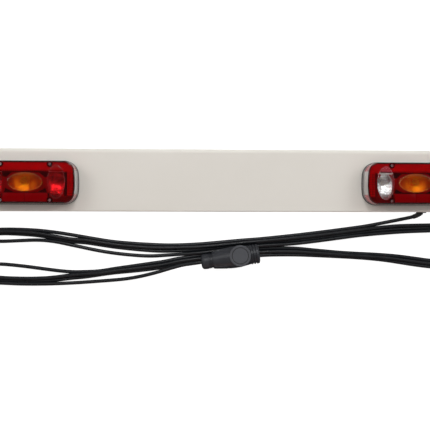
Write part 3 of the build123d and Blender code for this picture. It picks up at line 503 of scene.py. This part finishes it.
def bowl(verts, faces, mats, P, cu, cv, a, b, fu, fv, w0, k, w_top, flutes, depth, hole, mat):
    """Reflector bowl: thin paraboloid shell about (fu, fv), between the bulb's hole and an oval rim carried up to the plate."""
    n, m = 144, 24
    hu, hv, hr = hole

    def h(u, v):
        du, dv = u - fu, v - fv
        t = math.atan2(dv, du)
        rr = du * du + dv * dv
        return min(w_top - 1.0, w0 + k * rr + depth * math.cos(flutes * t) * min(1.0, rr / 90.0))

    rim, eye = ellipse(cu, cv, a, b, n), ellipse(hu, hv, hr, hr, n)
    rings = []
    for back in (0, 1):
        grid = []
        for q in range(m + 1):
            t = q / m
            ring = []
            for (u1, v1), (u0, v0) in zip(rim, eye):
                u, v = u0 + (u1 - u0) * t, v0 + (v1 - v0) * t
                ring.append((u, v, h(u, v) - 0.9 * back))
            grid.append(ring)
        edge = ellipse(cu, cv, a + 0.8 * back, b + 0.8 * back, n)
        if back:
            grid[m] = [(u, v, w) for (u, v), (_, _, w) in zip(edge, grid[m])]
        grid.append([(u, v, w_top) for u, v in edge])
        rings.append(grid)
    order = rings[0] + rings[1][::-1]
    base = len(verts)
    for ring in order:
        verts.extend(P(*p) for p in ring)
    for q in range(len(order)):
        r0, r1 = base + q * n, base + ((q + 1) % len(order)) * n
        for i in range(n):
            j = (i + 1) % n
            faces.append((r0 + i, r1 + i, r1 + j, r0 + j))
            mats.append(mat)


def slab(verts, faces, mats, P, loop, holes, w0, w1, mat):
    """Flat plate with openings."""
    pts, cons, loops = [], [], []
    for lp in [loop] + holes:
        k = len(pts)
        pts += [Vector(p) for p in lp]
        cons += [(k + i, k + (i + 1) % len(lp)) for i in range(len(lp))]
        loops.append(list(range(k, k + len(lp))))
    out_v, _, out_f, orig_v, _, _ = delaunay_2d_cdt(pts, cons, [], 2, 1e-5)

    def inside(p, lp):
        c = False
        for (x0, y0), (x1, y1) in zip(lp, lp[1:] + lp[:1]):
            if (y0 > p[1]) != (y1 > p[1]) and p[0] < (x1 - x0) * (p[1] - y0) / (y1 - y0) + x0:
                c = not c
        return c

    keep = []
    for f in out_f:
        c = sum((out_v[k] for k in f), Vector((0, 0))) / len(f)
        if inside(c, loop) and not any(inside(c, h) for h in holes):
            keep.append(f)
    b0 = len(verts)
    verts += [P(p.x, p.y, w1) for p in out_v]
    b1 = len(verts)
    verts += [P(p.x, p.y, w0) for p in out_v]
    for f in keep:
        faces.append(tuple(b0 + k for k in f)); mats.append(mat)
        faces.append(tuple(b1 + k for k in reversed(f))); mats.append(mat)
    where = {}
    for k, o in enumerate(orig_v):
        for q in o:
            where[q] = k
    for lp in loops:
        for x, y in zip(lp, lp[1:] + lp[:1]):
            x, y = where[x], where[y]
            faces.append((b0 + x, b0 + y, b1 + y, b1 + x)); mats.append(mat)


def spun(verts, faces, mats, P, cu, cv, profile, mat, n=32, closed=True):
    """Turned form about the w axis; the profile is a list of (radius, w)."""
    base = len(verts)
    for r, w in profile:
        for i in range(n):
            t = 2 * math.pi * i / n
            verts.append(P(cu + r * math.cos(t), cv + r * math.sin(t), w))
    m = len(profile)
    for k in range(m if closed else m - 1):
        for i in range(n):
            j = (i + 1) % n
            q = (k + 1) % m
            faces.append((base + k * n + i, base + k * n + j, base + q * n + j, base + q * n + i))
            mats.append(mat)


def wire(verts, faces, mats, line, r, mat, n=8):
    """Round wire along a list of world points."""
    base = len(verts)
    pts = [Vector(p) for p in line]
    for k, p in enumerate(pts):
        d = (pts[min(k + 1, len(pts) - 1)] - pts[max(k - 1, 0)]).normalized()
        x = d.orthogonal().normalized() if k == 0 else (x - d * x.dot(d)).normalized()
        y = d.cross(x)
        for i in range(n):
            t = 2 * math.pi * i / n
            verts.append(p + (x * math.cos(t) + y * math.sin(t)) * r * MM)
    for k in range(len(pts) - 1):
        for i in range(n):
            j = (i + 1) % n
            faces.append((base + k * n + i, base + k * n + j, base + (k + 1) * n + j, base + (k + 1) * n + i))
            mats.append(mat)
    for k in (0, len(pts) - 1):
        faces.append(tuple(base + k * n + i for i in range(n)))
        mats.append(mat)


BULBS = [(-4.0, 3.0), (67.4, 3.0), (-67.4, 3.0)]
GLOBE = [(6.3, 15.6), (6.4, 18.0), (6.9, 20.2), (7.9, 22.3), (8.7, 24.4), (9.0, 26.4), (8.8, 28.4), (8.1, 30.3),
         (6.9, 32.1), (5.2, 33.6), (3.0, 34.6), (0.6, 35.0)]


def lamp(side, s, inner_window, inner_mat):
    P = placer(s)
    window(f"{side}_indicator_lens", s, 0.0, (38.0, 20.8), 44.2, 2.2, 0.6, (1.9, 1.9), 0.45, "amber_lens",
           f"{side}_indicator_window")
    window(f"{side}_inner_lens", s, 67.4, (19.2, 37.4), 44.2, 1.5, 0.5, (2.25, 3.3), 0.7, inner_mat, inner_window)
    window(f"{side}_outer_lens", s, -67.4, (19.2, 37.4), 44.2, 1.5, 0.5, (2.25, 3.3), 0.7, "red_deep",
           f"{side}_stop_tail_window")

    # dark tray with openings, red shelf along the top with a light toothed lip, metallised bowls
    verts, faces, mats = [], [], []
    cols = [ellipse(i * 52.7, j * 39.1, 6.6, 6.6, 20) for i in (1, -1) for j in (1, -1)]
    ovals = [ellipse(0.0, 0.6, 36.6, 20.0), ellipse(67.4, -6.5, 15.5, 28.0), ellipse(-67.4, -6.5, 15.5, 28.0)]
    slab(verts, faces, mats, P, outline(104.0, 42.2, 19.0), cols + ovals, 31.0, 33.0, 1)
    bowl(verts, faces, mats, P, 0.0, 0.6, 36.6, 20.0, 7.0, 4.5, 15.2, 0.0080, 33.0, 28, 0.06, (-4.0, 3.0, 6.8), 2)
    for d in (1, -1):
        bowl(verts, faces, mats, P, d * 67.4, -6.5, 15.5, 28.0, d * 75.4, 4.5, 15.2, 0.0080, 33.0, 20, 0.04,
             (d * 67.4, 3.0, 6.8), 0)
    # painted shade: dark sheets laid on the tray where shade falls, under the shelf's teeth, in the corners round the
    # oval and beside the plate lamp
    for loop in ([(-99.0, 21.2), (84.0, 21.2), (84.0, 29.4), (-99.0, 29.4)],
                 [(30.0, 20.9), (50.0, 20.9), (49.0, 12.0), (41.0, 10.5)],
                 [(-50.0, 20.9), (-30.0, 20.9), (-41.0, 10.5), (-49.0, 12.0)],
                 [(-47.0, -23.4), (47.0, -23.4), (43.0, -12.5), (26.0, -21.0), (-26.0, -21.0), (-43.0, -12.5)]):
        slab(verts, faces, mats, P, loop, [], 33.0, 33.3, 3)
    # painted shade beside the plate lamp: the dark sheet on the left lamp, the lighter red one on the right
    bar = [(83.2, -30.0), (89.9, -30.0), (89.9, 20.9), (83.2, 20.9)]
    slab(verts, faces, mats, P, bar, [], 33.0, 33.3, 3 if side == "left" else 4)
    # painted shade: a dark sheet over the gap beside the reflector strip, and a dark red sheet on the foot of the tray
    # below the round bowls, where shade falls
    for d in (1, -1):
        gap = [(d * 48.2, -31.8), (d * 51.2, -31.8), (d * 51.2, -23.6), (d * 48.2, -23.6)][::d]
        slab(verts, faces, mats, P, gap, [], 33.0, 33.3, 3)
        foot = [(d * 60.5, -41.6), (d * 85.0, -41.6), (d * 93.0, -38.8), (d * 99.0, -33.0), (d * 100.5, -30.8), (d * 78.0, -30.8),
                (d * 73.0, -34.2), (d * 67.4, -35.2), (d * 62.0, -34.4), (d * 60.5, -33.8)][::d]
        slab(verts, faces, mats, P, foot, [], 33.0, 33.3, 4)
    # the right lamp's dish uses the lighter copy, painted light
    dish = "reflector_tip" if side == "left" else "reflector_lit_copy"
    piece(f"{side}_reflector", verts, faces, [dish, "tray_red", "reflector_fade", "painted_shade_dark", "painted_shade_red"],
          [f"{side}_lamp_reflector"], face_mats=mats, sharp=40.0, flip_check=False)

    verts, faces, mats = [], [], []
    top = [p for p in outline(104.2, 42.4, 19.0, n=16) if p[1] > 23.2]
    top = [p for p in top if p[0] > 0] + [p for p in top if p[0] <= 0]
    edge = [(-101.0, 23.2)]
    u = -98.0
    while u < 82.0:
        edge += [(u, 23.2), (u + 0.2, 26.6), (u + 2.5, 26.6), (u + 2.7, 23.2)]
        u += 4.5
    edge += [(101.0, 23.2)]
    slab(verts, faces, mats, P, top + edge, [ellipse(i * 52.7, 39.1, 6.6, 6.6, 20) for i in (1, -1)], 34.6, 37.0, 0)
    for d in (1, -1):
        low = 20.2 if (side, d) == ("right", 1) else 21.4
        lip = [(d * 50.5, low), (d * 84.0, low), (d * 84.0, 23.0), (d * 50.5, 23.0)][::d]
        slab(verts, faces, mats, P, lip, [], 34.6, 36.4, 1)
    piece(f"{side}_reflector_shelf", verts, faces, ["shelf_red", "shelf_white"], face_mats=mats, sharp=40.0,
          flip_check=False)

    # housing of the plate bulb: light box behind the clear end pane, its top cut into two rows of cells
    verts, faces, mats = [], [], []
    for k in range(10):
        v0 = -28.8 + 5.35 * k
        v1 = v0 + 3.8
        e0, e1 = (104.6 - 1.6 * (v / 28.0) ** 2 for v in (v0, v1))
        slab(verts, faces, mats, P, [(90.2, v0), (94.8, v0), (94.8, v1), (90.2, v1)], [], 34.0, 36.5, 0)
        slab(verts, faces, mats, P, [(96.1, v0), (e0, v0), (e1, v1), (96.1, v1)], [], 34.0, 36.5, 0)
    slab(verts, faces, mats, P, [(90.2, -29.0), (103.0, -29.0), (104.2, 0.0), (103.0, 24.4), (90.2, 24.4)], [], 33.0, 34.0, 2)
    slab(verts, faces, mats, P, [(102.0, -28.4), (104.0, -14), (104.6, 0), (104.0, 14), (102.0, 28.4), (100.8, 28.4), (102.8, 14),
                                 (103.4, 0), (102.8, -14), (100.8, -28.4)], [], 13.5, 34.0, 1)
    piece(f"{side}_plate_lamp_housing", verts, faces, ["band_red", "shelf_white", "tray_red"], face_mats=mats, sharp=40.0,
          flip_check=False)

    # bulbs: thin blown envelopes with their filaments
    verts, faces, mats = [], [], []
    for u, v in BULBS:
        spun(verts, faces, mats, P, u, v, GLOBE + [(max(r - 0.6, 0.3), w - 0.5) for r, w in reversed(GLOBE)], 0)
    piece(f"{side}_bulb_envelopes", verts, faces, ["bulb_glass"], [f"{side}_bulb_glass"], sharp=60.0)
    verts, faces, mats = [], [], []
    for u, v in BULBS:
        for d in (-2.6, 2.6):
            wire(verts, faces, mats, [P(u + d * 0.5, v, 15.0), P(u + d * 0.8, v, 20.0), P(u + d, v, 25.5)], 0.3, 0)
        coil = []
        for i in range(49):
            t = i / 48.0
            coil.append(P(u - 2.6 + 5.2 * t, v + 0.7 * math.cos(t * 14 * math.pi), 25.5 + 0.7 * math.sin(t * 14 * math.pi)))
        wire(verts, faces, mats, coil, 0.16, 0, 6)
        spun(verts, faces, mats, P, u, v, [(5.3, 15.75), (5.3, 16.2), (3.4, 16.8), (1.7, 18.2), (0.5, 19.4), (0.4, 15.75)],
             2 if u == BULBS[0][0] else 1, 24)
    piece(f"{side}_filaments", verts, faces, ["plated_steel", "bead", "bead_red"], face_mats=mats, sharp=50.0)

    # retro-reflector in two tiles with a seam
    verts, faces, mats = [], [], []
    for u0, u1 in ((-47.5, -0.25), (0.25, 47.5)):
        v0, v1 = -32.8 - 9.5, -32.8 + 9.5
        for w, e in ((42.9, 0.0), (44.35, 0.0), (44.65, 0.12), (44.8, 0.5)):
            for u, v in ((u0 + e, v0 + e), (u1 - e, v0 + e), (u1 - e, v1 - e), (u0 + e, v1 - e)):
                verts.append(P(u, v, w))
        b = len(verts) - 16
        faces += [(b, b + 3, b + 2, b + 1), (b + 12, b + 13, b + 14, b + 15)]
        for k in range(3):
            for i in range(4):
                j = (i + 1) % 4
                faces.append((b + 4 * k + i, b + 4 * k + j, b + 4 * k + 4 + j, b + 4 * k + 4 + i))
    piece(f"{side}_retro_tiles", verts, faces, ["retro_red"], [f"{side}_retro_reflector"], sharp=30.0)


lamp("left", 1, "left_fog_window", "red_deep")
lamp("right", -1, "right_reversing_window", "clear_lens")

# ---------------------------------------------------------------------------
# Plug: ribs along the rear cone, and a dark ring laid in the groove of its side cap as painted shade of the groove
# ---------------------------------------------------------------------------
PLUG_O, PLUG_A, PLUG_ROLL = Vector((-45.1, -182.8, 32.5)), math.radians(8.58), math.radians(6.0)
along = Vector((math.cos(PLUG_A), math.sin(PLUG_A), 0))
across_1, across_2 = Vector((-math.sin(PLUG_A), math.cos(PLUG_A), 0)), Vector((0, 0, 1))
verts, faces = [], []
for k in range(14):
    t = 2 * math.pi * (k + 0.3) / 14
    out = across_1 * math.cos(t) + across_2 * math.sin(t)
    wide = across_2 * math.cos(t) - across_1 * math.sin(t)
    base = len(verts)
    for pos, r, lift in ((28.0, 18.46, 0.0), (29.2, 18.64, 0.7), (55.0, 22.39, 0.7), (58.0, 22.82, 0.0)):
        for half_w, h in ((1.25, -0.5), (0.75, lift)):
            for d in (-1, 1):
                verts.append((PLUG_O + along * pos + out * (r + h) + wide * (d * half_w)) * MM)
    for q in range(3):
        b = base + 4 * q
        faces += [(b, b + 2, b + 6, b + 4), (b + 2, b + 3, b + 7, b + 6), (b + 3, b + 1, b + 5, b + 7), (b + 1, b, b + 4, b + 5)]
    faces += [(base, base + 1, base + 3, base + 2), (base + 12, base + 14, base + 15, base + 13)]
piece("plug_cone_ribs", verts, faces, ["plug_plastic"], sharp=30.0)

# painted shade: a dark ring set into the side cap's groove to darken it
cap_up = Vector((-math.sin(PLUG_A) * math.sin(PLUG_ROLL), math.cos(PLUG_A) * math.sin(PLUG_ROLL), math.cos(PLUG_ROLL)))
cap_y = cap_up.cross(along)
verts, faces = [], []
for r, h in ((17.15, 24.95), (17.15, 25.3), (17.45, 25.5), (18.35, 25.5), (18.65, 25.3), (18.65, 24.95)):
    for i in range(96):
        t = 2 * math.pi * i / 96
        verts.append((PLUG_O + along * 86.5 + along * (r * math.cos(t)) + cap_y * (r * math.sin(t)) + cap_up * h) * MM)
for q in range(6):
    for i in range(96):
        j = (i + 1) % 96
        w = (q + 1) % 6
        faces.append((q * 96 + i, q * 96 + j, w * 96 + j, w * 96 + i))
piece("plug_cap_groove_shade_ring", verts, faces, ["rubber"], sharp=40.0)

# ---------------------------------------------------------------------------
# Stage: pale floor and soft light
# ---------------------------------------------------------------------------
fm, fnt, fb = principled("floor", Roughness=0.9, Specular_IOR_Level=0.0)
fb.inputs["Base Color"].default_value = (0.35, 0.35, 0.35, 1)
fb.inputs["Emission Color"].default_value = (1, 1, 1, 1)
fb.inputs["Emission Strength"].default_value = 0.92
fme = bpy.data.meshes.new("floor")
fme.from_pydata([(-15, -15, -0.0006), (15, -15, -0.0006), (15, 15, -0.0006), (-15, 15, -0.0006)], [], [(0, 1, 2, 3)])
fme.materials.append(fm)
floor = bpy.data.objects.new("floor", fme)
floor.visible_glossy = False
scene.collection.objects.link(floor)

world = bpy.data.worlds.new("studio")
scene.world = world
world.use_nodes = True
wt = world.node_tree
tc = wt.nodes.new("ShaderNodeTexCoord")
sx = wt.nodes.new("ShaderNodeSeparateXYZ")
wt.links.new(tc.outputs["Generated"], sx.inputs["Vector"])
half = wt.nodes.new("ShaderNodeMapRange")
half.inputs["From Min"].default_value = -1.0
wt.links.new(sx.outputs["Y"], half.inputs["Value"])
across = ramp(wt, half.outputs["Result"], [(0.0, (0.10, 0.10, 0.10)), (0.20, (0.15, 0.15, 0.15)), (0.28, (0.57, 0.535, 0.515)),
                                           (0.40, (0.57, 0.535, 0.515)), (0.45, (0.05, 0.05, 0.05)), (0.56, (0.05, 0.05, 0.05)),
                                           (0.61, (0.56, 0.555, 0.55)), (0.80, (0.54, 0.535, 0.53)), (1.0, (0.40, 0.395, 0.39))])
upward = ramp(wt, sx.outputs["Z"], [(0.0, (0.15, 0.15, 0.15)), (0.10, (0.6, 0.6, 0.6)), (0.45, (1.0, 1.0, 1.0))])
sky = wt.nodes.new("ShaderNodeMix")
sky.data_type = "RGBA"
sky.blend_type = "MULTIPLY"
sky.inputs["Factor"].default_value = 1.0
wt.links.new(across, sky.inputs["A"])
wt.links.new(upward, sky.inputs["B"])
wt.links.new(sky.outputs["Result"], wt.nodes["Background"].inputs["Color"])
wt.nodes["Background"].inputs["Strength"].default_value = 1.0


def area(name, at, to, size, power, colour=(1, 1, 1)):
    d = bpy.data.lights.new(name, "AREA")
    d.shape = "ELLIPSE"
    d.size, d.size_y = size
    d.energy = power
    d.color = colour
    o = bpy.data.objects.new(name, d)
    o.location = at
    o.rotation_euler = (Vector(at) - Vector(to)).to_track_quat("Z", "Y").to_euler()
    scene.collection.objects.link(o)
    return o


area("key", (0.0, 1.28, 2.02), (0, 1.28, 0), (0.85, 1.8), 6, (1.0, 0.995, 0.985))
area("soft_box", (0.0, 1.2, 1.98), (0, 0.0, 0), (0.55, 0.9), 8)
area("side_left", (-2.8, 1.05, 2.7), (0, -0.03, 0), (2.2, 2.2), 28, (1.0, 0.995, 0.985))
area("side_right", (2.8, 1.05, 2.7), (0, -0.03, 0), (2.2, 2.2), 28, (1.0, 0.995, 0.985))
area("low_fill", (0.0, -1.8, 0.6), (0, -0.05, 0.03), (2.0, 0.5), 2.8, (1.0, 0.60, 0.52))
